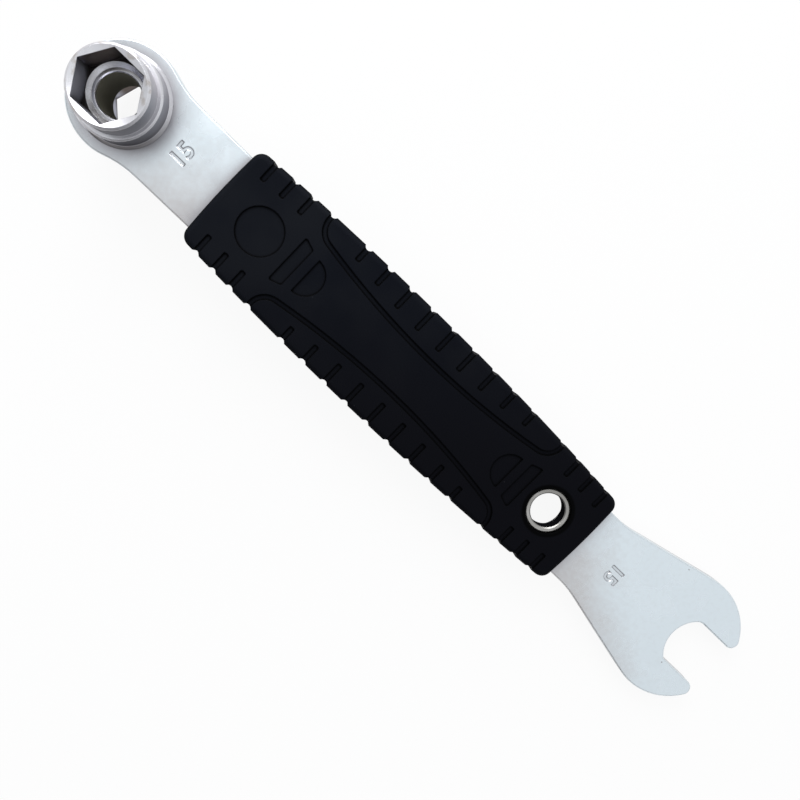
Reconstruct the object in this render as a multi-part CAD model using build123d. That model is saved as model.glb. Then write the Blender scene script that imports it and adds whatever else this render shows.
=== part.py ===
from build123d import *
from math import atan2, cos, degrees, radians, sin, sqrt, tan
import os

# Pedal wrench: a flat steel plate with an open jaw, a double-ended socket and a moulded rubber grip.
# Millimetres. The socket's axis is Z through the origin, the plate's mid-plane is Z = 0,
# and the jaw opens towards +X.

# Plate
plate_thickness = 5.0
shank_width = 24.0
head_radius = 14.4
head_blend_radius = 26.0
edge_break = 0.35

# Open jaw
jaw_size = 15.0
jaw_clearance = 0.15
jaw_bow_x = 207.7
jaw_bow_offset = 0.7
jaw_bow_radius = 18.7
flare_angle = 12.9
flare_blend_radius = 30.0
tine_tip_radius = 2.3
throat_radius = 9.3
throat_depth = 17.25
throat_corner_left = 3.0
throat_corner_right = 0.7

# Hanging hole and its eyelet
hang_bore_radius = 4.85
hang_hole_radius = 6.4
hang_mouth_radius = 8.0
eyelet_inset = 0.6
eyelet_length = 4.0
eyelet_inner_break = 0.3
eyelet_outer_break = 0.45

# Double-ended socket
socket_height = 32.0
socket_radius = 9.75
socket_rim_break = 0.6
collar_radius = 11.0
collar_height = 19.0
collar_break = 0.45
weld_leg = 0.8
upper_hex_size = 15.0
lower_hex_size = 14.0
hex_clearance = 0.15
lower_hex_turn = 13.5
hex_depth = 8.3
floor_ring_radius = 6.45
floor_cone_drop = 0.8
socket_bore_radius = 5.4
bore_break = 0.3

# Grip
grip_center_x = 98.4
grip_length = 133.0
grip_mid_width = 34.0
grip_end_width = 29.8
grip_end_bow = 0.5
grip_thickness = 12.2
grip_corner_radius = 3.0
grip_edge_radius = 1.6

# Grip relief: insets run from the grip's end, and the long grooves' from the channel's exit
groove_width = 1.5
groove_depth = 0.55
groove_corner_radius = 0.4
valley_radius = 1.25
valley_depth = 0.85
long_groove_count = 9
long_groove_inset = 12.0
long_groove_stand_off = 3.2
short_groove_count = 3
short_groove_pitch = 5.97
short_groove_inset = 17.3
short_groove_reach = 5.85
channel_width = 1.4
channel_depth = 0.6
channel_mid_offset = 6.6
channel_bow_radius = 236.0
channel_exit_inset = 23.7
channel_exit_radius = 5.0
sunken_depth = 0.45
moon_inset = 28.9
moon_radius = 5.3
bar_inner_inset = 26.2
bar_outer_inset = 22.7
bar_inner_length = 12.0
bar_outer_length = 14.4
bar_corner_radius = 0.5
window_inset = 13.4
disc_radius = 6.35

# Fits
seat_clearance = 0.02

# Sizes that follow from the ones above
half_plate = plate_thickness / 2
half_shank = shank_width / 2
half_jaw = (jaw_size + jaw_clearance) / 2
half_socket = socket_height / 2
half_collar = collar_height / 2
half_grip = grip_thickness / 2
tine_tip_x = jaw_bow_x + sqrt(
    (jaw_bow_radius - tine_tip_radius) ** 2 - (half_jaw + tine_tip_radius - jaw_bow_offset) ** 2
)
throat_x = tine_tip_x + tine_tip_radius - throat_depth + throat_radius
half_length = grip_length / 2
window_x = half_length - window_inset
hang_hole_x = grip_center_x + window_x
eyelet_top = half_grip - eyelet_inset
eyelet_radius = hang_hole_radius - seat_clearance
moon_chord_x = half_length - moon_inset
bar_inner_x = half_length - bar_inner_inset
bar_outer_x = half_length - bar_outer_inset
channel_exit_x = half_length - channel_exit_inset
long_groove_x = channel_exit_x - long_groove_inset
long_groove_pitch = 2 * long_groove_x / (long_groove_count - 1)
short_groove_x = half_length - short_groove_inset


def half_outline(throat_corner):
    """The plate's outline on the +Y side, from the head's far end round to the bottom of the throat."""
    blend_y = half_shank + head_blend_radius
    blend_x = sqrt((head_radius + head_blend_radius) ** 2 - blend_y**2)
    blend_angle = degrees(atan2(blend_y, blend_x))
    flank_x = jaw_bow_x - jaw_bow_radius * sin(radians(flare_angle))
    flank_y = jaw_bow_offset + jaw_bow_radius * cos(radians(flare_angle))
    flare_corner_x = flank_x - (flank_y - half_shank) / tan(radians(flare_angle))
    flare_x = flare_corner_x - flare_blend_radius * tan(radians(flare_angle / 2))
    tip_y = half_jaw + tine_tip_radius
    tip_angle = degrees(atan2(tip_y - jaw_bow_offset, tine_tip_x - jaw_bow_x))
    corner_y = half_jaw - throat_corner
    corner_reach = sqrt((throat_radius - throat_corner) ** 2 - corner_y**2)
    corner_angle = 180 - degrees(atan2(corner_y, corner_reach))
    head = CenterArc((0, 0), head_radius, 180, blend_angle - 180)
    head_blend = CenterArc((blend_x, blend_y), head_blend_radius, blend_angle + 180, 90 - blend_angle)
    shank = Line((blend_x, half_shank), (flare_x, half_shank))
    flare = CenterArc((flare_x, half_shank + flare_blend_radius), flare_blend_radius, 270, flare_angle)
    flank = Line(flare @ 1, (flank_x, flank_y))
    bow = CenterArc(
        (jaw_bow_x, jaw_bow_offset), jaw_bow_radius, 90 + flare_angle, tip_angle - 90 - flare_angle
    )
    tip = CenterArc((tine_tip_x, tip_y), tine_tip_radius, tip_angle, -90 - tip_angle)
    jaw_flat = Line((tine_tip_x, half_jaw), (throat_x - corner_reach, half_jaw))
    corner = CenterArc(
        (throat_x - corner_reach, corner_y), throat_corner, 90, corner_angle - 90
    )
    throat = CenterArc((throat_x, 0), throat_radius, corner_angle, 180 - corner_angle)
    return [head, head_blend, shank, flare, flank, bow, tip, jaw_flat, corner, throat]


def make_plate():
    """The flat blade: round head, shank, open jaw, the socket's seat and the hanging hole."""
    left = half_outline(throat_corner_left)
    right = [edge.mirror(Plane.XZ) for edge in half_outline(throat_corner_right)]
    outline = make_face(left + right) - Pos(hang_hole_x, 0) * Circle(hang_hole_radius)
    blade = extrude(outline, half_plate, both=True)
    rims = blade.edges().filter_by(Plane.XY)
    blade = chamfer(rims, edge_break)
    blade -= Cylinder(collar_radius + seat_clearance, 2 * plate_thickness)
    return blade


def turned_outside():
    """The socket's turned outside: two plain mouths on a thicker middle barrel."""
    profile = Polyline(
        (0, half_socket),
        (socket_radius - socket_rim_break, half_socket),
        (socket_radius, half_socket - socket_rim_break),
        (socket_radius, half_collar),
        (collar_radius - collar_break, half_collar),
        (collar_radius, half_collar - collar_break),
        (collar_radius, 0),
        (0, 0),
        close=True,
    )
    upper = revolve(Plane.XZ * make_face(profile), Axis.Z)
    return upper + mirror(upper, Plane.XY)


def make_eyelet():
    """The steel eyelet pressed into the hanging hole, just below the grip's upper face."""
    profile = Polyline(
        (hang_bore_radius, eyelet_top - eyelet_length),
        (hang_bore_radius, eyelet_top - eyelet_inner_break),
        (hang_bore_radius + eyelet_inner_break, eyelet_top),
        (eyelet_radius - eyelet_outer_break, eyelet_top),
        (eyelet_radius, eyelet_top - eyelet_outer_break),
        (eyelet_radius, eyelet_top - eyelet_length),
        close=True,
    )
    return Pos(hang_hole_x, 0, 0) * revolve(Plane.XZ * make_face(profile), Axis.Z)


def weld_bead():
    """The sloping weld round the barrel on the plate's upper face."""
    return Pos(0, 0, half_plate + weld_leg / 2) * Cone(collar_radius + weld_leg, collar_radius, weld_leg)


def hex_mouth(size, turn):
    """The cutter for one upward mouth: a hexagon, the cone at its floor and the flat ring inside it."""
    across = size + hex_clearance
    floor_z = half_socket - hex_depth
    hexagon = Rot(0, 0, turn) * extrude(RegularPolygon(across / 2, 6, major_radius=False), hex_depth)
    hexagon = Pos(0, 0, floor_z) * hexagon
    cone = Pos(0, 0, floor_z - floor_cone_drop / 2) * Cone(floor_ring_radius, across / 2, floor_cone_drop)
    countersink = Pos(0, 0, floor_z - floor_cone_drop - bore_break / 2) * Cone(
        socket_bore_radius, socket_bore_radius + bore_break, bore_break
    )
    return hexagon + cone + countersink


def make_socket():
    """The double-ended socket with its two hexagons, the bore between them and its welds."""
    body = turned_outside()
    bead = weld_bead()
    body = body + bead + mirror(bead, Plane.XY)
    body -= hex_mouth(upper_hex_size, 0)
    body -= mirror(hex_mouth(lower_hex_size, lower_hex_turn), Plane.XY)
    body -= Cylinder(socket_bore_radius, socket_height)
    return body


def grip_half_width(x):
    """Half the grip's width at x from its middle: the sides bow out in one long shallow curve each."""
    bulge = (grip_mid_width - grip_end_width) / 2
    return grip_mid_width / 2 - bulge * (x / half_length) ** 2


def channel_offset(x):
    """How far the channel's middle lies from the grip's centre line at x."""
    return channel_mid_offset + channel_bow_radius - sqrt(channel_bow_radius**2 - x**2)


def long_groove_places():
    """Where the long grooves lie along the grip, from its middle."""
    return [number * long_groove_pitch - long_groove_x for number in range(long_groove_count)]


def short_groove_places():
    """Where the short grooves lie along the grip, from its middle, on both sides of it."""
    right = [short_groove_x + number * short_groove_pitch for number in range(short_groove_count)]
    return right + [-x for x in right]


def notch_places():
    """Where each side is notched by a groove or the channel, from one end to the other."""
    return sorted(long_groove_places() + short_groove_places() + [-channel_exit_x, channel_exit_x])


def grip_blank():
    """The barrel-sided slab, straight between its side notches, with bowed ends and rounded edges."""
    stations = [x for x in notch_places() if abs(x) < half_length - grip_corner_radius]
    side = Polyline(*[(x, grip_half_width(x)) for x in [-half_length] + stations + [half_length]])
    end = ThreePointArc(side @ 1, (half_length + grip_end_bow, 0), (half_length, -grip_half_width(half_length)))
    plan = make_face(side.edges() + [end, side.mirror(Plane.XZ), end.mirror(Plane.YZ)])
    columns = plan.vertices().group_by(Axis.X)
    plan = fillet(columns[0] + columns[-1], grip_corner_radius)
    slab = extrude(plan, half_grip, both=True)
    return fillet(slab.edges().filter_by(Plane.XY), grip_edge_radius)


def sunk(plan, depth):
    """A cutter that sinks a plan into the upper face."""
    return Pos(0, 0, half_grip - depth) * extrude(plan, 2 * depth)


def groove(x, inner_y):
    """One flat-bottomed groove with rounded corners, from inner_y out past the side."""
    outer_y = grip_mid_width / 2 + 2 * valley_radius
    plan = RectangleRounded(groove_width, outer_y - inner_y, groove_corner_radius)
    return sunk(Pos(x, (inner_y + outer_y) / 2) * plan, groove_depth)


def valley(x):
    """The upright round notch in the side that a groove or the channel runs out into."""
    return Pos(x, grip_half_width(x) + valley_radius - valley_depth, 0) * Cylinder(
        valley_radius, 2 * grip_thickness
    )


def channel_edge(shift):
    """One edge of the channel, shift away from its middle line, from one side notch to the other."""
    bend_x = channel_exit_x - channel_exit_radius
    bow_y = channel_mid_offset + channel_bow_radius
    bend_y = bow_y - sqrt((channel_bow_radius - channel_exit_radius) ** 2 - bend_x**2)
    angle = degrees(atan2(bend_x, bow_y - bend_y))
    exit_x = channel_exit_x + shift
    outer_y = grip_mid_width / 2 + valley_radius
    return [
        Line((-exit_x, outer_y), (-exit_x, bend_y)),
        CenterArc((-bend_x, bend_y), channel_exit_radius + shift, 180, 90 - angle),
        CenterArc((0, bow_y), channel_bow_radius + shift, 270 - angle, 2 * angle),
        CenterArc((bend_x, bend_y), channel_exit_radius + shift, 270 + angle, 90 - angle),
        Line((exit_x, bend_y), (exit_x, outer_y)),
    ]


def channel():
    """The long curved channel on the upper face, from one side notch to the other."""
    outside = channel_edge(channel_width / 2)
    inside = channel_edge(-channel_width / 2)
    ends = [Line(outside[0] @ 0, inside[0] @ 0), Line(outside[-1] @ 1, inside[-1] @ 1)]
    return sunk(make_face(outside + inside + ends), channel_depth)


def groove_set():
    """All grooves, side notches and the channel of the upper face on the +Y side."""
    cutters = [channel()]
    cutters += [valley(x) for x in notch_places()]
    cutters += [groove(x, channel_offset(x) + long_groove_stand_off) for x in long_groove_places()]
    cutters += [groove(x, grip_half_width(x) - short_groove_reach) for x in short_groove_places()]
    return cutters


def moon():
    """The sunken half-moon, its straight side towards the grip's end."""
    disc = Circle(moon_radius)
    half = Pos(moon_radius, 0) * Rectangle(2 * moon_radius, 2 * moon_radius)
    return Pos(moon_chord_x, 0) * (disc - half)


def bar():
    """The sunken bar beside the half-moon, longer on the side of the grip's end."""
    corners = Polyline(
        (bar_inner_x, -bar_inner_length / 2),
        (bar_outer_x, -bar_outer_length / 2),
        (bar_outer_x, bar_outer_length / 2),
        (bar_inner_x, bar_inner_length / 2),
        close=True,
    )
    plan = make_face(corners)
    return fillet(plan.vertices(), bar_corner_radius)


def sunken_set():
    """The flat-bottomed recesses of the upper face: moons, bars and the disc."""
    plans = [moon(), bar(), mirror(moon(), Plane.YZ), mirror(bar(), Plane.YZ)]
    plans.append(Pos(-window_x, 0) * Circle(disc_radius))
    return [sunk(plan, sunken_depth) for plan in plans]


def hanging_window():
    """The cutter for the round window in the grip, flared open towards the lower face."""
    flare_height = half_grip - half_plate
    flare = Cone(hang_mouth_radius, hang_hole_radius, flare_height)
    return Cylinder(hang_hole_radius, 2 * grip_thickness) + Pos(0, 0, flare_height / 2 - half_grip) * flare


def make_grip():
    """The moulded sleeve round the shank with its relief on both faces."""
    body = grip_blank()
    relief = sunken_set()
    for cutter in groove_set():
        relief += [cutter, mirror(cutter, Plane.XZ)]
    relief += [mirror(cutter, Plane.XY) for cutter in relief]
    body = body.cut(*relief)
    slot_height = plate_thickness + 2 * seat_clearance
    body -= Box(2 * grip_length, shank_width + 2 * seat_clearance, slot_height)
    body -= Pos(window_x, 0, 0) * hanging_window()
    return Pos(grip_center_x, 0, 0) * body


def main():
    """Build every piece and write it to its own STEP file."""
    os.makedirs("parts", exist_ok=True)
    export_step(make_plate(), "parts/plate.step")
    export_step(make_socket(), "parts/socket.step")
    export_step(make_grip(), "parts/grip.step")
    export_step(make_eyelet(), "parts/eyelet.step")


main()
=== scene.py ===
"""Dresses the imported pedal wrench: plated blade, turned socket and eyelet, moulded rubber grip."""

import logging
import math
from dataclasses import dataclass, field
from enum import Enum

import bpy
from mathutils import Euler, Matrix, Vector


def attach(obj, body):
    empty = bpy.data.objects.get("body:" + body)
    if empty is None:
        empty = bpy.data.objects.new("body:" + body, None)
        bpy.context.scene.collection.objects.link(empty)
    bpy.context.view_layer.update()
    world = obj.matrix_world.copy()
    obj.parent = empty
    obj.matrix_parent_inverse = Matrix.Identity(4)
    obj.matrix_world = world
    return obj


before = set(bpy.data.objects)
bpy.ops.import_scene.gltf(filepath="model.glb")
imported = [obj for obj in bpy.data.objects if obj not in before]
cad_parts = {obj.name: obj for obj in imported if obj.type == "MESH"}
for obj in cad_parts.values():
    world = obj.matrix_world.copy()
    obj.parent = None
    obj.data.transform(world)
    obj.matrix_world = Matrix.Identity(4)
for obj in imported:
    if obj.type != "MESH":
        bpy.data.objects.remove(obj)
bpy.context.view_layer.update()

logging.basicConfig(level=logging.INFO, format="%(name)s: %(message)s")
log = logging.getLogger("pedal_wrench")

MM = 0.001
BODY = "root"
BUMP_DISTANCE = 0.05 * MM
WHITE = (1.0, 1.0, 1.0)

# A measure in millimetres beyond the whole wrench, for a part that a turned piece doesn't have
NOWHERE = 1000.0

# Places of the colour sockets on a Mix node, whose names repeat
MIX_FIRST = 6
MIX_SECOND = 7
MIX_RESULT = 2

Colour = tuple[float, float, float]
Place = tuple[float, float, float]
Span = tuple[float, float]
Wire = bpy.types.NodeSocket
Value = Wire | float | Colour


class BladeEnd(Enum):
    """The two bare ends of the blade, by the turn in degrees of the number that is stamped there."""

    SOCKET = 90.0
    JAW = -90.0


# Node trees

class Graph:
    """Adds nodes to a shader or geometry tree and wires them together."""

    def __init__(self, tree: bpy.types.NodeTree) -> None:
        """Keeps the tree that nodes are added to."""
        self.tree = tree

    def node(self, kind: str, **settings: object) -> bpy.types.Node:
        """Adds one node and sets its properties.

        Args:
            kind: The node's Blender type name.
            **settings: Properties of the node, by name.

        Returns:
            The new node.
        """
        made = self.tree.nodes.new(kind)
        for name, value in settings.items():
            setattr(made, name, value)
        return made

    def feed(self, target: Wire, value: Value) -> None:
        """Wires a socket into an input, or sets a plain number, vector or colour on it.

        Args:
            target: The input to fill.
            value: An output socket, or what the input keeps.
        """
        if isinstance(value, Wire):
            self.tree.links.new(value, target)
        elif target.type == "RGBA":
            target.default_value = (*value, 1.0)
        else:
            target.default_value = value

    def math(self, operation: str, a: Value, b: Value = 0.0) -> Wire:
        """Adds a Math node.

        Args:
            operation: The Math node's operation.
            a: First socket or number.
            b: Second socket or number.

        Returns:
            The result's socket.
        """
        made = self.node("ShaderNodeMath", operation=operation)
        self.feed(made.inputs[0], a)
        self.feed(made.inputs[1], b)
        return made.outputs[0]

    def product(self, first: Value, *others: Value) -> Wire:
        """Multiplies two or more values.

        Args:
            first: The first socket or number.
            *others: The sockets or numbers that it is multiplied by.

        Returns:
            The product's socket.
        """
        result = first
        for other in others:
            result = self.math("MULTIPLY", result, other)
        return result

    def ramp(self, value: Wire, span: Span, result: Span = (0.0, 1.0)) -> Wire:
        """Maps a span of values smoothly to another.

        Args:
            value: The socket that is mapped.
            span: The first and the last value that are mapped.
            result: What those two become.

        Returns:
            The mapped value's socket.
        """
        made = self.node("ShaderNodeMapRange", interpolation_type="SMOOTHSTEP")
        self.feed(made.inputs["Value"], value)
        for name, number in zip(("From Min", "From Max", "To Min", "To Max"), (*span, *result)):
            made.inputs[name].default_value = number
        return made.outputs["Result"]

    def mix(self, factor: Value, a: Value, b: Value) -> Wire:
        """Mixes two colours.

        Args:
            factor: Share of the second colour.
            a: First colour or socket.
            b: Second colour or socket.

        Returns:
            The mixed colour's socket.
        """
        made = self.node("ShaderNodeMix", data_type="RGBA")
        self.feed(made.inputs["Factor"], factor)
        self.feed(made.inputs[MIX_FIRST], a)
        self.feed(made.inputs[MIX_SECOND], b)
        return made.outputs[MIX_RESULT]

    def noise(self, scale: Value, detail: float) -> Wire:
        """Adds a noise that is fixed to the object.

        Args:
            scale: Features per metre, a number or a socket.
            detail: Octaves of finer noise.

        Returns:
            The noise's value socket.
        """
        made = self.node("ShaderNodeTexNoise")
        self.feed(made.inputs["Vector"], self.place())
        self.feed(made.inputs["Scale"], scale)
        self.feed(made.inputs["Detail"], detail)
        return made.outputs["Fac"]

    def place(self) -> Wire:
        """Gives the point on the object, in metres of the shared frame."""
        return self.node("ShaderNodeTexCoord").outputs["Object"]

    def axes(self, vector: Wire) -> list[Wire]:
        """Splits a vector.

        Args:
            vector: The vector's socket.

        Returns:
            The sockets of its X, Y and Z.
        """
        parts = self.node("ShaderNodeSeparateXYZ")
        self.feed(parts.inputs[0], vector)
        return list(parts.outputs)


def shader_group(
    name: str, inputs: dict[str, float], outputs: dict[str, str]
) -> tuple[Graph, bpy.types.Node, bpy.types.Node]:
    """Starts a shader node group with named sockets.

    Args:
        name: The group's name.
        inputs: Default of each number input, by name.
        outputs: Socket type of each output, by name.

    Returns:
        A graph for the group's inside, its input node and its output node.
    """
    tree = bpy.data.node_groups.new(name, "ShaderNodeTree")
    for label, default in inputs.items():
        made = tree.interface.new_socket(name=label, in_out="INPUT", socket_type="NodeSocketFloat")
        made.default_value = default
    for label, kind in outputs.items():
        tree.interface.new_socket(name=label, in_out="OUTPUT", socket_type=kind)
    graph = Graph(tree)
    return graph, graph.node("NodeGroupInput"), graph.node("NodeGroupOutput")


# Shared surface effects

@dataclass(frozen=True)
class Grain:
    """The fine grain and the soft clouds of a finish, in millimetres, and how deep the grain looks."""

    size: float
    cloud_size: float
    strength: float


@dataclass(frozen=True)
class Specks:
    """Small marks scattered over a finish: cells per metre, a mark's size in cells and the share marked."""

    per_metre: float
    size: float
    share: float


@dataclass
class Effects:
    """The surface effects that the finishes share, each a shader node group built once."""

    grain_detail: float = 3.0
    cloud_detail: float = 2.0
    cloud_span: Span = (0.3, 0.7)
    edge_samples: int = 6
    edge_span: Span = (0.80, 0.99)
    recess_samples: int = 8
    recess_span: Span = (0.60, 0.97)
    grain: bpy.types.NodeTree = field(init=False)
    edges: bpy.types.NodeTree = field(init=False)
    specks: bpy.types.NodeTree = field(init=False)
    recess: bpy.types.NodeTree = field(init=False)
    axis: bpy.types.NodeTree = field(init=False)
    turn: bpy.types.NodeTree = field(init=False)

    def __post_init__(self) -> None:
        """Builds every group."""
        self.grain = self.build_grain()
        self.edges = self.build_edges()
        self.specks = self.build_specks()
        self.recess = self.build_recess()
        self.axis = self.build_axis()
        self.turn = self.build_turn()

    def build_grain(self) -> bpy.types.NodeTree:
        """Builds the fine grain and the broad clouds of a surface.

        Returns:
            A group with a height for bump and a mask of soft clouds.
        """
        graph, start, end = shader_group(
            "surface_grain",
            {"Grain Scale": 4000.0, "Cloud Scale": 80.0},
            {"Height": "NodeSocketFloat", "Clouds": "NodeSocketFloat"},
        )
        graph.feed(end.inputs["Height"], graph.noise(start.outputs["Grain Scale"], self.grain_detail))
        broad = graph.noise(start.outputs["Cloud Scale"], self.cloud_detail)
        graph.feed(end.inputs["Clouds"], graph.ramp(broad, self.cloud_span))
        return graph.tree

    def build_edges(self) -> bpy.types.NodeTree:
        """Builds the softening of sharp edges and a mask of where they are.

        Returns:
            A group with a rounded normal and an edge mask.
        """
        graph, start, end = shader_group(
            "soft_edges",
            {"Radius": 0.2 * MM},
            {"Normal": "NodeSocketVector", "Edge": "NodeSocketFloat"},
        )
        rounded = graph.node("ShaderNodeBevel", samples=self.edge_samples)
        graph.feed(rounded.inputs["Radius"], start.outputs["Radius"])
        same = graph.node("ShaderNodeVectorMath", operation="DOT_PRODUCT")
        graph.feed(same.inputs[0], rounded.outputs["Normal"])
        graph.feed(same.inputs[1], graph.node("ShaderNodeNewGeometry").outputs["Normal"])
        graph.feed(end.inputs["Normal"], rounded.outputs["Normal"])
        graph.feed(end.inputs["Edge"], graph.ramp(same.outputs["Value"], self.edge_span, (1.0, 0.0)))
        return graph.tree

    def build_specks(self) -> bpy.types.NodeTree:
        """Builds a few small specks, scattered far apart.

        Returns:
            A group with a mask of the specks.
        """
        graph, start, end = shader_group(
            "scattered_specks",
            {"Speck Scale": 200.0, "Speck Size": 0.06, "Share": 0.2},
            {"Specks": "NodeSocketFloat"},
        )
        cells = graph.node("ShaderNodeTexVoronoi")
        graph.feed(cells.inputs["Vector"], graph.place())
        graph.feed(cells.inputs["Scale"], start.outputs["Speck Scale"])
        near = graph.math("LESS_THAN", cells.outputs["Distance"], start.outputs["Speck Size"])
        draw = graph.axes(cells.outputs["Color"])[0]
        chosen = graph.math("LESS_THAN", draw, start.outputs["Share"])
        graph.feed(end.inputs["Specks"], graph.product(near, chosen))
        return graph.tree

    def build_recess(self) -> bpy.types.NodeTree:
        """Builds a mask of the open surface, which fades out in corners and grooves, where the finishes
        paint shade.

        Returns:
            A group with a mask that is 1 in the open and 0 in a tight corner.
        """
        graph, start, end = shader_group("painted_recess_shade", {"Reach": MM}, {"Open": "NodeSocketFloat"})
        shade = graph.node("ShaderNodeAmbientOcclusion", samples=self.recess_samples)
        graph.feed(shade.inputs["Distance"], start.outputs["Reach"])
        graph.feed(end.inputs["Open"], graph.ramp(shade.outputs["AO"], self.recess_span))
        return graph.tree

    def build_axis(self) -> bpy.types.NodeTree:
        """Builds the distance from an upright axis, for what is round about it.

        Returns:
            A group with the distance in metres.
        """
        graph, start, end = shader_group("axis_distance", {"Centre X": 0.0}, {"Radius": "NodeSocketFloat"})
        x, y, _ = graph.axes(graph.place())
        offset = graph.math("SUBTRACT", x, start.outputs["Centre X"])
        square = graph.math("ADD", graph.product(offset, offset), graph.product(y, y))
        graph.feed(end.inputs["Radius"], graph.math("SQRT", square))
        return graph.tree

    def build_turn(self) -> bpy.types.NodeTree:
        """Builds the measure of how far the surface faces up or down.

        Returns:
            A group with a value that is 0 on an upright wall and 1 on a level face.
        """
        graph, _, end = shader_group("face_turn", {}, {"Level": "NodeSocketFloat"})
        normal = graph.node("ShaderNodeNewGeometry").outputs["Normal"]
        graph.feed(end.inputs["Level"], graph.math("ABSOLUTE", graph.axes(normal)[2]))
        return graph.tree


class Surface:
    """One material in the making: its graph, its shader and the shared effects placed in it."""

    def __init__(self, name: str, effects: Effects) -> None:
        """Starts an empty material.

        Args:
            name: The material's name.
            effects: The shared effect groups.
        """
        self.material = bpy.data.materials.new(name)
        self.material.use_nodes = True
        self.effects = effects
        self.graph = Graph(self.material.node_tree)
        self.shader = self.material.node_tree.nodes["Principled BSDF"]

    def effect(self, group: bpy.types.NodeTree, **values: float) -> bpy.types.NodeOutputs:
        """Places one effect group.

        Args:
            group: The effect's node group.
            **values: Its inputs, with an underscore for each space.

        Returns:
            The group's outputs, by name.
        """
        placed = self.graph.node("ShaderNodeGroup", node_tree=group)
        for name, value in values.items():
            placed.inputs[name.replace("_", " ")].default_value = value
        return placed.outputs

    def grain(self, grain: Grain) -> bpy.types.NodeOutputs:
        """Places the grain and the clouds of a finish.

        Args:
            grain: Their sizes.

        Returns:
            The outputs Height and Clouds.
        """
        return self.effect(
            self.effects.grain,
            Grain_Scale=1.0 / (grain.size * MM),
            Cloud_Scale=1.0 / (grain.cloud_size * MM),
        )

    def edges(self, radius: float) -> bpy.types.NodeOutputs:
        """Places the soft edges, by their radius in millimetres, with the outputs Normal and Edge."""
        return self.effect(self.effects.edges, Radius=radius * MM)

    def specks(self, specks: Specks) -> Wire:
        """Places scattered specks.

        Args:
            specks: How many there are, and how large.

        Returns:
            The mask of the specks.
        """
        placed = self.effect(
            self.effects.specks,
            Speck_Scale=specks.per_metre,
            Speck_Size=specks.size,
            Share=specks.share,
        )
        return placed["Specks"]

    def open_face(self, reach: float) -> Wire:
        """Gives the mask of what is open over a reach in millimetres."""
        return self.effect(self.effects.recess, Reach=reach * MM)["Open"]

    def radius(self, centre_x: float) -> Wire:
        """Gives the distance in metres from an upright axis, by its place along X in millimetres."""
        return self.effect(self.effects.axis, Centre_X=centre_x * MM)["Radius"]

    def level(self) -> Wire:
        """Gives how far the surface faces up or down, from 0 on an upright wall to 1."""
        return self.effect(self.effects.turn)["Level"]

    def finish(
        self, colour: Value, rough: Value, height: Value, strength: float, normal: Wire
    ) -> bpy.types.Material:
        """Feeds the shader with the values that change over the surface.

        Args:
            colour: The base colour.
            rough: The roughness.
            height: The height for the fine bump.
            strength: How deep the bump looks.
            normal: The normal under the bump.

        Returns:
            The finished material.
        """
        bump = self.graph.node("ShaderNodeBump")
        self.graph.feed(bump.inputs["Strength"], strength)
        self.graph.feed(bump.inputs["Distance"], BUMP_DISTANCE)
        self.graph.feed(bump.inputs["Height"], height)
        self.graph.feed(bump.inputs["Normal"], normal)
        self.graph.feed(self.shader.inputs["Normal"], bump.outputs["Normal"])
        self.graph.feed(self.shader.inputs["Base Color"], colour)
        self.graph.feed(self.shader.inputs["Roughness"], rough)
        return self.material


# Finishes, with their lengths in millimetres

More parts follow.
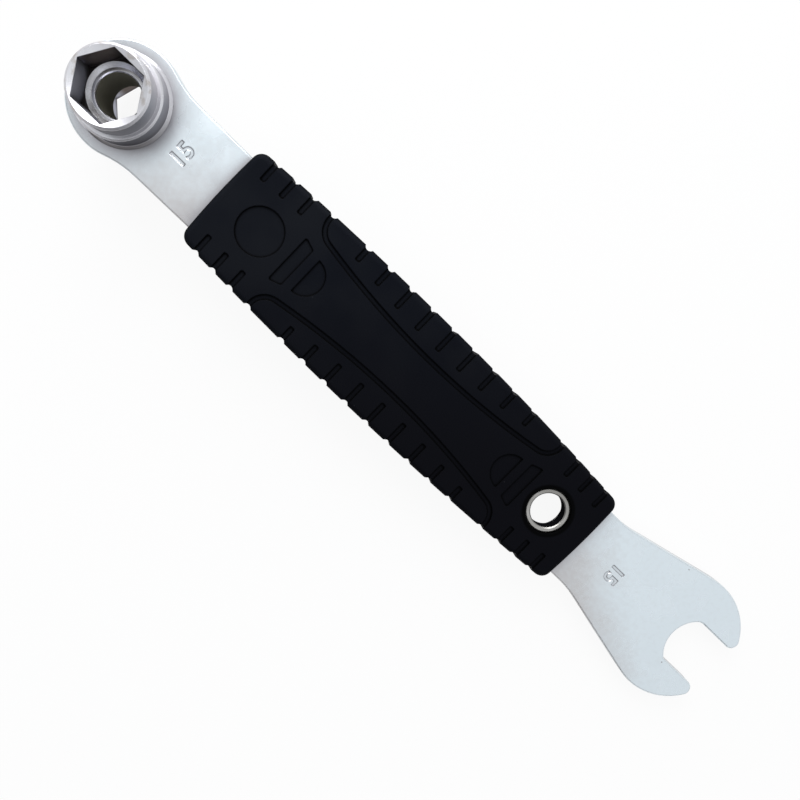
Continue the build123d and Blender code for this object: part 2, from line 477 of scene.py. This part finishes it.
@dataclass(frozen=True)
class PlatedSteel:
    """Satin plating on the flat blade with a few pits, painted light that makes it bluer and paler on the
    +Y side and at the far ends and warmer and greyer by the grip, and painted shade along its edges and by
    the socket and the grip.
    """

    name: str = "plated_steel"
    blue: Colour = (0.78, 0.85, 0.89)
    warm: Colour = (0.585, 0.57, 0.57)
    pit: Colour = (0.42, 0.43, 0.44)
    rim: Colour = (0.30, 0.29, 0.29)
    rim_shade_share: float = 0.8
    shaded: Colour = (0.38, 0.37, 0.39)
    shaded_reach: float = 9.0
    middle_x: float = 98.4
    tint_start: float = 68.0
    tint_rise: float = 0.62
    tint_length: float = 24.0
    tint_clouds: float = 0.20
    tint_span: Span = (-0.45, 0.75)
    mottle_size: float = 1.4
    mottle_detail: float = 2.0
    mottle_span: Span = (0.25, 0.75)
    mottle_tint: Span = (-0.08, 0.08)
    roughness: Span = (0.25, 0.33)
    grain: Grain = Grain(size=0.25, cloud_size=9.0, strength=0.08)
    pits: Specks = Specks(per_metre=150.0, size=0.045, share=1.0)
    pit_depth: float = 3.0
    edge_radius: float = 0.30

    def painted_light_tint(self, graph: Graph, clouds: Wire) -> Wire:
        """Works out how blue the plating is, a painted light from the warm side by the grip and towards −Y
        to the blade's far ends and the +Y side, with the plating's own mottle added.

        Args:
            graph: The material's graph.
            clouds: A soft mask that breaks the change up.

        Returns:
            A socket from about 0, warm, to about 1, blue.
        """
        x, y, _ = graph.axes(graph.place())
        far = graph.math("ABSOLUTE", graph.math("SUBTRACT", x, self.middle_x * MM))
        far = graph.math("SUBTRACT", far, self.tint_start * MM)
        blue = graph.math("ADD", y, graph.product(far, self.tint_rise))
        blue = graph.math("DIVIDE", blue, self.tint_length * MM)
        blue = graph.math("ADD", blue, graph.product(clouds, self.tint_clouds))
        mottle = graph.noise(1.0 / (self.mottle_size * MM), self.mottle_detail)
        mottle = graph.ramp(mottle, self.mottle_span, self.mottle_tint)
        return graph.math("ADD", graph.ramp(blue, self.tint_span), mottle)

    def build(self, effects: Effects) -> bpy.types.Material:
        """Makes the material.

        Args:
            effects: The shared effect groups.

        Returns:
            The finished material.
        """
        surface = Surface(self.name, effects)
        graph = surface.graph
        graph.feed(surface.shader.inputs["Metallic"], 1.0)
        grain = surface.grain(self.grain)
        edges = surface.edges(self.edge_radius)
        pits = surface.specks(self.pits)
        # Painted light: bluer and paler towards +Y and the far ends, warmer and greyer by the grip.
        colour = graph.mix(self.painted_light_tint(graph, grain["Clouds"]), self.warm, self.blue)
        # Painted shade along the blade's edges and chamfers.
        colour = graph.mix(graph.product(edges["Edge"], self.rim_shade_share), colour, self.rim)
        colour = graph.mix(surface.open_face(self.shaded_reach), self.shaded, colour)
        colour = graph.mix(pits, colour, self.pit)
        rough = graph.ramp(grain["Clouds"], (0.0, 1.0), self.roughness)
        height = graph.math("SUBTRACT", grain["Height"], graph.product(pits, self.pit_depth))
        return surface.finish(colour, rough, height, self.grain.strength, edges["Normal"])


@dataclass(frozen=True)
class TurnedShape:
    """Where the parts of a turned piece begin or end, with heights from the middle of the plate."""

    centre_x: float
    hollow_radius: float
    hollow_height: float
    bore_radius: float
    foot_radius: float = NOWHERE
    dish_radius: float = 0.0
    face_height: float = NOWHERE
    rim_height: float = NOWHERE


@dataclass(frozen=True)
class TurnedMasks:
    """Masks and measures of a turned piece, as sockets of its material."""

    radius: Wire
    height: Wire
    across: Wire
    walls: Wire
    open_face: Wire
    hollow: Wire
    bore: Wire


@dataclass(frozen=True)
class TurnedSteel:
    """Plated steel turned on a lathe, with painted shade on its inside, in its bore and on the −Y side of
    its outside.
    """

    name: str
    colour: Colour
    shade: Colour
    wall: Colour
    shaded_inner_wall: Colour
    bore: Colour
    roughness: Span
    stain_share: float
    # Painted shade for the corners and the floor of the hollow.
    corner: Colour = (0.045, 0.040, 0.040)
    corner_reach: float = 3.4
    outer_wall: Colour = (0.52, 0.51, 0.535)
    shaded_outer_wall: Colour = (0.15, 0.145, 0.155)
    shaded_outer_span: Span = (-9.0, 9.0)
    shaded_inner_span: Span = (-1.5, 1.5)
    wall_span: Span = (0.35, 0.65)
    wall_roughness: float = 0.14
    foot: Colour = (0.36, 0.345, 0.35)
    stain: Colour = (0.40, 0.33, 0.26)
    stain_size: float = 2.6
    stain_detail: float = 4.0
    stain_span: Span = (0.50, 0.68)
    grazing: Colour = (0.70, 0.70, 0.72)
    bore_gloss: float = 0.02
    bore_roughness: float = 0.4
    dish_slope: float = 0.30
    ring_size: float = 0.35
    ring_waver: float = 0.5
    ring_depth: float = 0.4
    grain: Grain = Grain(size=0.20, cloud_size=7.142857, strength=0.07)
    edge_radius: float = 0.12

    def masks(self, surface: Surface, shape: TurnedShape) -> TurnedMasks:
        """Works out where each part of the piece is.

        Args:
            surface: The material in the making.
            shape: The piece's measures.

        Returns:
            The masks.
        """
        graph = surface.graph
        _, across, z = graph.axes(graph.place())
        height = graph.math("ABSOLUTE", z)
        radius = surface.radius(shape.centre_x)
        walls = graph.ramp(surface.level(), self.wall_span, (1.0, 0.0))
        below = graph.math("LESS_THAN", height, shape.hollow_height * MM)
        hollow = graph.product(graph.math("LESS_THAN", radius, shape.hollow_radius * MM), below)
        bore = graph.product(graph.math("LESS_THAN", radius, shape.bore_radius * MM), below, walls)
        open_face = surface.open_face(self.corner_reach)
        return TurnedMasks(radius, height, across, walls, open_face, hollow, bore)

    def face_colour(self, graph: Graph, clouds: Wire, shape: TurnedShape, masks: TurnedMasks) -> Wire:
        """Colours the faces that look up or down, with small stains on the rim and painted shade in the
        corners of the hollow.

        Args:
            graph: The material's graph.
            clouds: A soft mask that breaks the plating up.
            shape: The piece's measures.
            masks: The piece's masks.

        Returns:
            The colour's socket.
        """
        plating = graph.mix(clouds, self.colour, self.shade)
        rim = graph.math("GREATER_THAN", masks.height, shape.rim_height * MM)
        spots = graph.noise(1.0 / (self.stain_size * MM), self.stain_detail)
        stains = graph.product(graph.ramp(spots, self.stain_span), rim, self.stain_share)
        stained = graph.mix(stains, plating, self.stain)
        # Painted shade where the hollow's faces meet its walls.
        hollow_shade = graph.product(masks.hollow, graph.math("SUBTRACT", 1.0, masks.open_face))
        return graph.mix(hollow_shade, stained, self.corner)

    def outer_colour(self, graph: Graph, face: Wire, shape: TurnedShape, masks: TurnedMasks) -> Wire:
        """Colours the outside, with painted shade on the walls' −Y side and a grey foot on the blade, also
        darker on the −Y side as painted shade.

        Args:
            graph: The material's graph.
            face: The colour of the faces.
            shape: The piece's measures.
            masks: The piece's masks.

        Returns:
            The colour's socket.
        """
        # Painted shade: the outside and its foot darken towards −Y, away from the lamps.
        bright = graph.ramp(masks.across, (self.shaded_outer_span[0] * MM, self.shaded_outer_span[1] * MM))
        wall = graph.mix(bright, self.shaded_outer_wall, self.outer_wall)
        outer = graph.mix(masks.walls, face, wall)
        at_foot = graph.math("GREATER_THAN", masks.radius, shape.foot_radius * MM)
        return graph.mix(at_foot, outer, graph.mix(bright, self.foot, self.shade))

    def inner_colour(self, graph: Graph, face: Wire, masks: TurnedMasks) -> Wire:
        """Colours the hollow, whose walls carry painted shade, near black in the corners and dark brown on
        the +Y side.

        Args:
            graph: The material's graph.
            face: The colour of the faces.
            masks: The piece's masks.

        Returns:
            The colour's socket.
        """
        # Painted light and shade: the walls are lighter on the −Y side and dark brown on the +Y side,
        # facing away from the lamps; corners go near black.
        warm = graph.ramp(masks.across, (self.shaded_inner_span[0] * MM, self.shaded_inner_span[1] * MM))
        wall = graph.mix(warm, self.wall, self.shaded_inner_wall)
        wall = graph.mix(masks.open_face, self.corner, wall)
        return graph.mix(masks.walls, face, wall)

    def dished(self, graph: Graph, shape: TurnedShape, masks: TurnedMasks, normal: Wire) -> Wire:
        """Turns the end faces a little towards the axis, as if they were dished.

        Args:
            graph: The material's graph.
            shape: The piece's measures.
            masks: The piece's masks.
            normal: The normal of the true faces.

        Returns:
            The turned normal's socket.
        """
        face = graph.math("GREATER_THAN", masks.height, shape.face_height * MM)
        fall = graph.math("MINIMUM", graph.math("SUBTRACT", masks.radius, shape.dish_radius * MM), 0.0)
        bump = graph.node("ShaderNodeBump")
        # The height is in metres already, so one unit of it is one metre
        graph.feed(bump.inputs["Distance"], 1.0)
        graph.feed(bump.inputs["Height"], graph.product(fall, self.dish_slope, face))
        graph.feed(bump.inputs["Normal"], normal)
        return bump.outputs["Normal"]

    def rings(self, graph: Graph) -> Wire:
        """Works out the fine rings that the turning tool left.

        Args:
            graph: The material's graph.

        Returns:
            The height of the rings.
        """
        rings = graph.node("ShaderNodeTexWave", wave_type="BANDS", bands_direction="Z")
        graph.feed(rings.inputs["Vector"], graph.place())
        graph.feed(rings.inputs["Scale"], 1.0 / (self.ring_size * MM))
        graph.feed(rings.inputs["Distortion"], self.ring_waver)
        return graph.product(rings.outputs["Fac"], self.ring_depth)

    def build(self, effects: Effects, shape: TurnedShape) -> bpy.types.Material:
        """Makes the material.

        Args:
            effects: The shared effect groups.
            shape: The piece's measures.

        Returns:
            The finished material.
        """
        surface = Surface(self.name, effects)
        graph = surface.graph
        graph.feed(surface.shader.inputs["Specular IOR Level"], self.bore_gloss)
        graph.feed(surface.shader.inputs["Specular Tint"], self.grazing)
        grain = surface.grain(self.grain)
        edges = surface.edges(self.edge_radius)
        masks = self.masks(surface, shape)
        face = self.face_colour(graph, grain["Clouds"], shape, masks)
        outer = self.outer_colour(graph, face, shape, masks)
        colour = graph.mix(masks.hollow, outer, self.inner_colour(graph, face, masks))
        # Painted shade: the bore is coloured dark and made a dull non-metal.
        colour = graph.mix(masks.bore, colour, self.bore)
        graph.feed(surface.shader.inputs["Metallic"], graph.math("SUBTRACT", 1.0, masks.bore))
        rough = graph.ramp(grain["Clouds"], (0.0, 1.0), self.roughness)
        rough = graph.math("ADD", rough, graph.product(masks.walls, self.wall_roughness))
        rough = graph.math("ADD", rough, graph.product(masks.bore, self.bore_roughness))
        height = graph.math("ADD", grain["Height"], self.rings(graph))
        normal = self.dished(graph, shape, masks, edges["Normal"])
        return surface.finish(colour, rough, height, self.grain.strength, normal)


@dataclass(frozen=True)
class MouldedRubber:
    """Black moulded rubber with a fine matt grain and pale specks of dust, painted light that makes it
    paler by the socket and on the +Y side, and painted shade on its edges, sides and grooves and round the
    eyelet.
    """

    name: str = "black_rubber"
    colour: Colour = (0.0036, 0.0045, 0.0074)
    bloom: Colour = (0.0068, 0.0078, 0.0105)
    far_shade: Colour = (0.0026, 0.0027, 0.0042)
    far_shade_span: Span = (30.0, 150.0)
    far_shade_lean: float = 2.0
    side: Colour = (0.0012, 0.0013, 0.0018)
    side_span: Span = (0.30, 0.95)
    edge: Colour = (0.0008, 0.0008, 0.0012)
    edge_shade_share: float = 0.8
    edge_radius: float = 0.45
    groove: Colour = (0.0004, 0.0004, 0.0006)
    groove_reach: float = 0.70
    eye_x: float = 151.5
    eye_span: Span = (7.1, 7.8)
    dust: Colour = (0.03, 0.03, 0.035)
    dust_share: float = 0.5
    dust_specks: Specks = Specks(per_metre=220.0, size=0.03, share=0.5)
    roughness: Span = (0.56, 0.66)
    gloss: float = 0.03
    grain: Grain = Grain(size=0.30, cloud_size=16.0, strength=0.22)

    def face_colour(self, surface: Surface, clouds: Wire) -> Wire:
        """Colours the rubber with painted light, paler by the socket and on the +Y side and darker towards
        the eyelet, with painted shade on its upright sides.

        Args:
            surface: The material in the making.
            clouds: A soft mask that breaks the paler tone up.

        Returns:
            The colour's socket.
        """
        graph = surface.graph
        along, across, _ = graph.axes(graph.place())
        # Painted light: paler towards the socket end and the +Y side, where the lamps stand, darker towards
        # the eyelet.
        lean = graph.math("SUBTRACT", along, graph.product(across, self.far_shade_lean))
        far_shaded = graph.ramp(lean, (self.far_shade_span[0] * MM, self.far_shade_span[1] * MM))
        colour = graph.mix(far_shaded, graph.mix(clouds, self.colour, self.bloom), self.far_shade)
        # Painted shade on the upright sides.
        return graph.mix(graph.ramp(surface.level(), self.side_span), self.side, colour)

    def build(self, effects: Effects) -> bpy.types.Material:
        """Makes the material.

        Args:
            effects: The shared effect groups.

        Returns:
            The finished material.
        """
        surface = Surface(self.name, effects)
        graph = surface.graph
        graph.feed(surface.shader.inputs["Specular IOR Level"], self.gloss)
        grain = surface.grain(self.grain)
        edges = surface.edges(self.edge_radius)
        colour = self.face_colour(surface, grain["Clouds"])
        # Painted shade along the edges.
        colour = graph.mix(graph.product(edges["Edge"], self.edge_shade_share), colour, self.edge)
        # Painted shade in the grooves and corners.
        colour = graph.mix(surface.open_face(self.groove_reach), self.groove, colour)
        # Painted shade in a ring round the eyelet.
        eye_span = (self.eye_span[0] * MM, self.eye_span[1] * MM)
        eye = graph.ramp(surface.radius(self.eye_x), eye_span, (1.0, 0.0))
        colour = graph.mix(eye, colour, self.groove)
        dust = graph.product(surface.specks(self.dust_specks), self.dust_share)
        colour = graph.mix(dust, colour, self.dust)
        rough = graph.ramp(grain["Clouds"], (0.0, 1.0), self.roughness)
        return surface.finish(colour, rough, grain["Height"], self.grain.strength, edges["Normal"])


# Pieces of the wrench, with their sizes in millimetres

@dataclass
class Piece:
    """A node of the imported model, which keeps its shape and gets a finish."""

    node: str
    slot: str

    def coat(self, material: bpy.types.Material) -> bpy.types.Object:
        """Gives the node its material.

        Args:
            material: The finish of the whole piece.

        Returns:
            The node's object.
        """
        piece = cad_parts[self.node]
        piece.data.materials.clear()
        piece.data.materials.append(material)
        return piece


@dataclass
class Blade(Piece):
    """The flat plate, with a plain size number stamped into each bare end."""

    node: str = "plate"
    slot: str = "plated_steel"
    finish: PlatedSteel = PlatedSteel()
    top: float = 2.5
    number: str = "15"
    letter_size: float = 6.2
    letter_weight: float = 0.03
    letter_steps: int = 6
    stamp_depth: float = 0.08
    stamp_taper: float = 0.14
    socket_mark: tuple[float, float] = (18.6, 0.2)
    jaw_mark: tuple[float, float] = (180.2, -0.1)
    join_reach: float = 0.001
    sharp_degrees: float = 40.0

    def punch(self, end: BladeEnd) -> bpy.types.Object:
        """Makes the hidden punch that stamps the number into one end.

        Args:
            end: The end that is stamped.

        Returns:
            The punch's object, which isn't rendered.
        """
        text = bpy.data.curves.new("punch_outline", "FONT")
        text.body = self.number
        text.size = self.letter_size * MM
        text.align_x = "CENTER"
        text.align_y = "CENTER"
        text.offset = self.letter_weight * MM
        text.extrude = self.stamp_depth * MM
        text.bevel_depth = self.stamp_taper * MM
        text.bevel_resolution = 0
        text.resolution_u = self.letter_steps
        outline = bpy.data.objects.new("punch_outline", text)
        mesh = bpy.data.meshes.new_from_object(outline)
        bpy.data.objects.remove(outline)
        punch = bpy.data.objects.new(f"{end.name.lower()}_punch", mesh)
        x, y = self.socket_mark if end is BladeEnd.SOCKET else self.jaw_mark
        turn = Matrix.Rotation(math.radians(end.value), 4, "Z")
        punch.matrix_world = Matrix.Translation((x * MM, y * MM, self.top * MM)) @ turn
        bpy.context.scene.collection.objects.link(punch)
        punch.hide_render = True
        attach(punch, BODY)
        return punch

    def smoothing(self) -> bpy.types.NodeTree:
        """Builds a modifier group that shades smooth across all but the sharp edges.

        Returns:
            The geometry node group.
        """
        tree = bpy.data.node_groups.new("smooth_faces", "GeometryNodeTree")
        for side in ("INPUT", "OUTPUT"):
            tree.interface.new_socket(name="Geometry", in_out=side, socket_type="NodeSocketGeometry")
        graph = Graph(tree)
        faces = graph.node("GeometryNodeSetShadeSmooth", domain="FACE")
        edges = graph.node("GeometryNodeSetShadeSmooth", domain="EDGE")
        angle = graph.node("GeometryNodeInputMeshEdgeAngle").outputs["Unsigned Angle"]
        graph.feed(faces.inputs["Geometry"], graph.node("NodeGroupInput").outputs[0])
        graph.feed(edges.inputs["Geometry"], faces.outputs[0])
        soft = graph.math("LESS_THAN", angle, math.radians(self.sharp_degrees))
        graph.feed(edges.inputs["Shade Smooth"], soft)
        graph.feed(graph.node("NodeGroupOutput").inputs[0], edges.outputs[0])
        return tree

    def dress(self, effects: Effects) -> None:
        """Plates the blade and stamps its two ends.

        Args:
            effects: The shared effect groups.
        """
        piece = self.coat(self.finish.build(effects))
        join = piece.modifiers.new("join_faces", "WELD")
        join.merge_threshold = self.join_reach * MM
        for end in BladeEnd:
            stamp = piece.modifiers.new(f"{end.name.lower()}_stamp", "BOOLEAN")
            stamp.operation = "DIFFERENCE"
            stamp.solver = "EXACT"
            stamp.object = self.punch(end)
        shading = piece.modifiers.new("shading", "NODES")
        shading.node_group = self.smoothing()
        weighted = piece.modifiers.new("flat_faces", "WEIGHTED_NORMAL")
        weighted.keep_sharp = True


@dataclass
class TurnedPiece(Piece):
    """A piece turned on a lathe, whose finish follows its shape."""

    finish: TurnedSteel
    shape: TurnedShape

    def dress(self, effects: Effects) -> None:
        """Plates the piece, with painted shade in its hollow and a dark, dull bore painted as shade.

        Args:
            effects: The shared effect groups.
        """
        self.coat(self.finish.build(effects, self.shape))


@dataclass
class Socket(TurnedPiece):
    """The double-ended socket, with a hexagon in each mouth."""

    node: str = "socket"
    slot: str = "plated_steel_turned"
    finish: TurnedSteel = TurnedSteel(
        name="socket_steel",
        colour=(0.78, 0.78, 0.81),
        shade=(0.68, 0.67, 0.70),
        wall=(0.48, 0.49, 0.56),
        # Painted shade: the dark brown inner wall on the +Y side and the dark bore.
        shaded_inner_wall=(0.11, 0.085, 0.07),
        bore=(0.24, 0.23, 0.18),
        roughness=(0.24, 0.32),
        stain_share=0.45,
    )
    shape: TurnedShape = TurnedShape(
        centre_x=0.0,
        hollow_radius=8.8,
        hollow_height=15.9,
        bore_radius=5.6,
        foot_radius=11.1,
        dish_radius=9.2,
        face_height=15.8,
        rim_height=15.2,
    )


@dataclass
class Eyelet(TurnedPiece):
    """The small ring that lines the hanging hole."""

    node: str = "eyelet"
    slot: str = "plated_steel_turned"
    finish: TurnedSteel = TurnedSteel(
        name="eyelet_steel",
        colour=(0.44, 0.43, 0.41),
        shade=(0.32, 0.31, 0.29),
        # Painted shade: the walls and the bore inside the ring are near black.
        wall=(0.01, 0.01, 0.012),
        shaded_inner_wall=(0.01, 0.01, 0.012),
        bore=(0.004, 0.004, 0.005),
        roughness=(0.39, 0.47),
        stain_share=0.0,
    )
    shape: TurnedShape = TurnedShape(
        centre_x=151.5,
        hollow_radius=5.4,
        hollow_height=5.4,
        bore_radius=5.4,
    )


@dataclass
class Grip(Piece):
    """The moulded rubber sleeve round the blade's shank."""

    node: str = "grip"
    slot: str = "moulded_rubber"
    finish: MouldedRubber = MouldedRubber()

    def dress(self, effects: Effects) -> None:
        """Gives the sleeve its rubber, with painted shade round the eyelet.

        Args:
            effects: The shared effect groups.
        """
        self.coat(self.finish.build(effects))


# Studio

@dataclass(frozen=True)
class Lamp:
    """One square soft lamp, with its place and side in metres."""

    name: str
    place: Place
    size: float
    watts: float

    def hang(self, aim: Place) -> None:
        """Hangs the lamp so that it faces a point.

        Args:
            aim: The point in metres.
        """
        data = bpy.data.lights.new(self.name, "AREA")
        data.shape = "SQUARE"
        data.size = self.size
        data.energy = self.watts
        lamp = bpy.data.objects.new(self.name, data)
        lamp.location = self.place
        line = Vector(aim) - Vector(self.place)
        lamp.rotation_euler = line.to_track_quat("-Z", "Y").to_euler()
        bpy.context.scene.collection.objects.link(lamp)


@dataclass
class Studio:
    """The plain floor, the soft surround, the lamps and the camera.

    The wrench's resting points, the floor's gap, the lens and the film are in millimetres. Places,
    reaches and the camera's view are in metres, and turns are in degrees.
    """

    socket_bottom: float = -16.0
    socket_heel: float = 9.15
    jaw_bottom: float = -2.5
    jaw_tip: float = 223.5
    floor_reach: float = 3.0
    floor_gap: float = 0.05
    floor_colour: Colour = (0.72, 0.72, 0.72)
    floor_roughness: float = 0.9
    floor_gloss: float = 0.1
    floor_white: float = 0.92
    sky_bright: Colour = (0.86, 0.88, 0.90)
    sky_dim: Colour = (0.16, 0.16, 0.17)
    sky_lean: Place = (0.0, 0.45, 0.89)
    sky_span: Span = (-0.2, 0.75)
    lamps: tuple[Lamp, ...] = (
        Lamp("key", (-0.30, 0.48, 0.72), 0.6, 2.4),
        Lamp("side", (-0.38, 0.42, 0.24), 0.5, 4.4),
    )
    lamp_aim: Place = (0.1, 0.0, 0.0)
    lens: float = 33.669
    film_width: float = 36.0
    camera_view: Span = (0.01, 20.0)
    camera_place: Place = (0.06923, 0.00684, 0.19975)
    camera_turn: tuple[float, float, float] = (-9.1384, -3.9417, 44.4135)

    def floor(self) -> None:
        """Lays a large floor under the socket's lower rim and the jaw's tips."""
        rise = self.jaw_bottom - self.socket_bottom
        run = self.jaw_tip - self.socket_heel
        reach = self.floor_reach
        corners = [(-reach, -reach, 0.0), (reach, -reach, 0.0), (reach, reach, 0.0), (-reach, reach, 0.0)]
        mesh = bpy.data.meshes.new("floor")
        mesh.from_pydata(corners, [], [(0, 1, 2, 3)])
        mesh.materials.append(self.floor_material())
        floor = bpy.data.objects.new("floor", mesh)
        low = self.socket_bottom - self.floor_gap
        touch = Matrix.Translation((self.socket_heel * MM, 0.0, low * MM))
        floor.matrix_world = touch @ Matrix.Rotation(-math.atan2(rise, run), 4, "Y")
        bpy.context.scene.collection.objects.link(floor)

    def floor_material(self) -> bpy.types.Material:
        """Makes the matt floor, which is nearly white where it is seen and still takes a shadow.

        Returns:
            The floor's material.
        """
        material = bpy.data.materials.new("pale_floor")
        material.use_nodes = True
        graph = Graph(material.node_tree)
        nodes = material.node_tree.nodes
        shader = nodes["Principled BSDF"]
        graph.feed(shader.inputs["Base Color"], self.floor_colour)
        graph.feed(shader.inputs["Roughness"], self.floor_roughness)
        graph.feed(shader.inputs["Specular IOR Level"], self.floor_gloss)
        glow = graph.node("ShaderNodeEmission")
        graph.feed(glow.inputs["Color"], WHITE)
        graph.feed(glow.inputs["Strength"], 1.0)
        path = graph.node("ShaderNodeLightPath").outputs
        seen = graph.math("MAXIMUM", path["Is Camera Ray"], path["Is Glossy Ray"])
        seen = graph.math("MAXIMUM", seen, path["Is Transmission Ray"])
        mixer = graph.node("ShaderNodeMixShader")
        graph.feed(mixer.inputs[0], graph.product(seen, self.floor_white))
        graph.feed(mixer.inputs[1], shader.outputs[0])
        graph.feed(mixer.inputs[2], glow.outputs[0])
        graph.feed(nodes["Material Output"].inputs["Surface"], mixer.outputs[0])
        return material

    def surround(self) -> None:
        """Sets a soft world, pale on the lit side and dim on the other, white to the camera."""
        world = bpy.data.worlds.new("studio")
        bpy.context.scene.world = world
        world.use_nodes = True
        graph = Graph(world.node_tree)
        lit = graph.node("ShaderNodeVectorMath", operation="DOT_PRODUCT")
        graph.feed(lit.inputs[0], graph.node("ShaderNodeTexCoord").outputs["Generated"])
        graph.feed(lit.inputs[1], self.sky_lean)
        sky = graph.mix(graph.ramp(lit.outputs["Value"], self.sky_span), self.sky_dim, self.sky_bright)
        seen = graph.node("ShaderNodeLightPath").outputs["Is Camera Ray"]
        background = world.node_tree.nodes["Background"]
        graph.feed(background.inputs["Color"], graph.mix(seen, sky, WHITE))
        graph.feed(background.inputs["Strength"], 1.0)

    def camera(self) -> None:
        """Places the camera at the photograph's viewing angle."""
        data = bpy.data.cameras.new("camera")
        data.sensor_width = self.film_width
        data.lens = self.lens
        data.clip_start, data.clip_end = self.camera_view
        camera = bpy.data.objects.new("camera", data)
        camera.location = self.camera_place
        camera.rotation_euler = Euler([math.radians(angle) for angle in self.camera_turn], "XYZ")
        bpy.context.scene.collection.objects.link(camera)
        bpy.context.scene.camera = camera

    def build(self) -> None:
        """Makes the whole studio."""
        self.floor()
        self.surround()
        for lamp in self.lamps:
            lamp.hang(self.lamp_aim)
        self.camera()
        bpy.context.scene.view_settings.view_transform = "Standard"


def main() -> None:
    """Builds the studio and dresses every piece."""
    Studio().build()
    log.info("studio built")
    effects = Effects()
    for piece in (Blade(), Socket(), Eyelet(), Grip()):
        piece.dress(effects)
        log.info("%s dressed in %s", piece.node, piece.finish.name)


if __name__ == "__main__":
    main()
